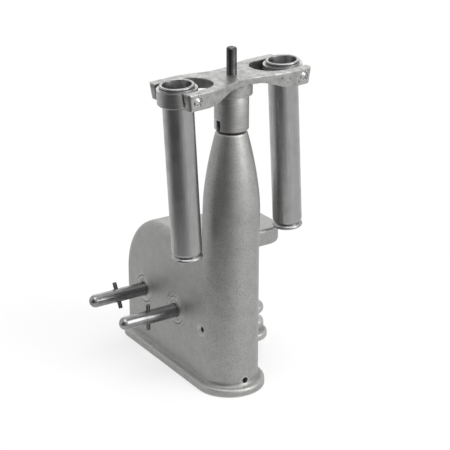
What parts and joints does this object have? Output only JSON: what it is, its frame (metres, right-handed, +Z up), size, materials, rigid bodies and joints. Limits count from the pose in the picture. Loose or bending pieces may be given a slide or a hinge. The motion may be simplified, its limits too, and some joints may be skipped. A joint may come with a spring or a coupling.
{
  "type": "hand crank centrifuge",
  "caption": "Bench-clamped cast centrifuge with geared crank shafts, a vertical spindle and a yoke carrying swing-out tube shields",
  "frame": {"origin": "on the spindle's axis, at the underside of the base flange", "axes": "+Z up the spindle, the gear case reaches along -X, the crank shafts stick out along -Y and the bench clamp along +Y"},
  "size_m": [0.1428, 0.1255, 0.239],
  "materials": {
    "casting": "sand cast, lightly tumbled, satin",
    "cover": "rolled plate, dull",
    "screws": "nickel plated, turned heads",
    "bronze": "oiled phosphor bronze",
    "ball": "polished bearing ball",
    "bush": "turned, bright rim",
    "shaft": "ground, smooth, darkened by use",
    "pin": "drawn rod",
    "gear": "cut and oiled",
    "sleeve": "turned, nickel plated",
    "yoke": "forged and ground, nickel plated",
    "ring": "turned, nickel plated",
    "shield": "drawn tube, brushed lengthwise",
    "cushion": "moulded, matt",
    "clamp": "turned steel",
    "knob": "cast and turned"
  },
  "bodies": {
    "casing": {"body_casting": "casting", "base_cover": "cover", "cover_screws": "screws", "upper_bush": "bronze", "foot_bearing": "bronze", "foot_ball": "ball", "foot_grub_screw": "screws", "front_bushes": "bush", "rear_bushes": "bush"},
    "high_shaft": {"high_speed_shaft": "shaft", "high_cross_pin": "pin", "worm_wheel": "bronze", "spur_gear": "gear", "wheel_pin": "pin"},
    "low_shaft": {"low_speed_shaft": "shaft", "low_cross_pin": "pin", "pinion": "gear", "low_spacer": "shaft", "pinion_pin": "pin"},
    "rotor": {"spindle": "shaft", "worm": "gear", "worm_pin": "pin", "drive_pin": "pin", "rotor_sleeve": "sleeve", "yoke": "yoke", "pivot_screws": "screws"},
    "left_bucket": {"left_trunnion_ring": "ring", "left_shield": "shield", "left_cushion": "cushion"},
    "right_bucket": {"right_trunnion_ring": "ring", "right_shield": "shield", "right_cushion": "cushion"},
    "clamp_pad_body": {"clamp_pad": "clamp"},
    "clamp_screw_body": {"clamp_screw": "clamp", "clamp_knob": "knob", "knob_pin": "pin"}
  },
  "joints": [
    {"name": "rotor_spin", "type": "hinge", "parent": "casing", "child": "rotor", "pos_m": [0, 0, 0.2], "axis": [0, 0, 1], "continuous": true},
    {"name": "high_shaft_turn", "type": "hinge", "parent": "casing", "child": "high_shaft", "pos_m": [-0.0395, 0, 0.045], "axis": [0, 1, 0], "continuous": true},
    {"name": "low_shaft_turn", "type": "hinge", "parent": "casing", "child": "low_shaft", "pos_m": [-0.0827, 0, 0.045], "axis": [0, 1, 0], "continuous": true},
    {"name": "left_shield_swing", "type": "hinge", "parent": "rotor", "child": "left_bucket", "pos_m": [0.00587, -0.04401, 0.2156], "axis": [-0.9912, -0.1323, 0], "range_deg": [-2.6, 93.4]},
    {"name": "right_shield_swing", "type": "hinge", "parent": "rotor", "child": "right_bucket", "pos_m": [-0.00587, 0.04401, 0.2156], "axis": [0.9912, 0.1323, 0], "range_deg": [-9.4, 86.6]},
    {"name": "clamp_pad_slide", "type": "slide", "parent": "casing", "child": "clamp_pad_body", "axis": [0, 0, 1], "range_m": [-0.016, 0.003]},
    {"name": "clamp_screw_turn", "type": "hinge", "parent": "clamp_pad_body", "child": "clamp_screw_body", "pos_m": [-0.03675, 0.039, 0.03], "axis": [0, 0, 1], "range_deg": [-2880, 540]}
  ],
  "couplings": [
    {"joint": "high_shaft_turn", "follows": "rotor_spin", "ratio": 0.1},
    {"joint": "low_shaft_turn", "follows": "rotor_spin", "ratio": -0.18},
    {"joint": "clamp_screw_turn", "follows": "clamp_pad_slide", "rad_per_m": 3141.6}
  ]
}
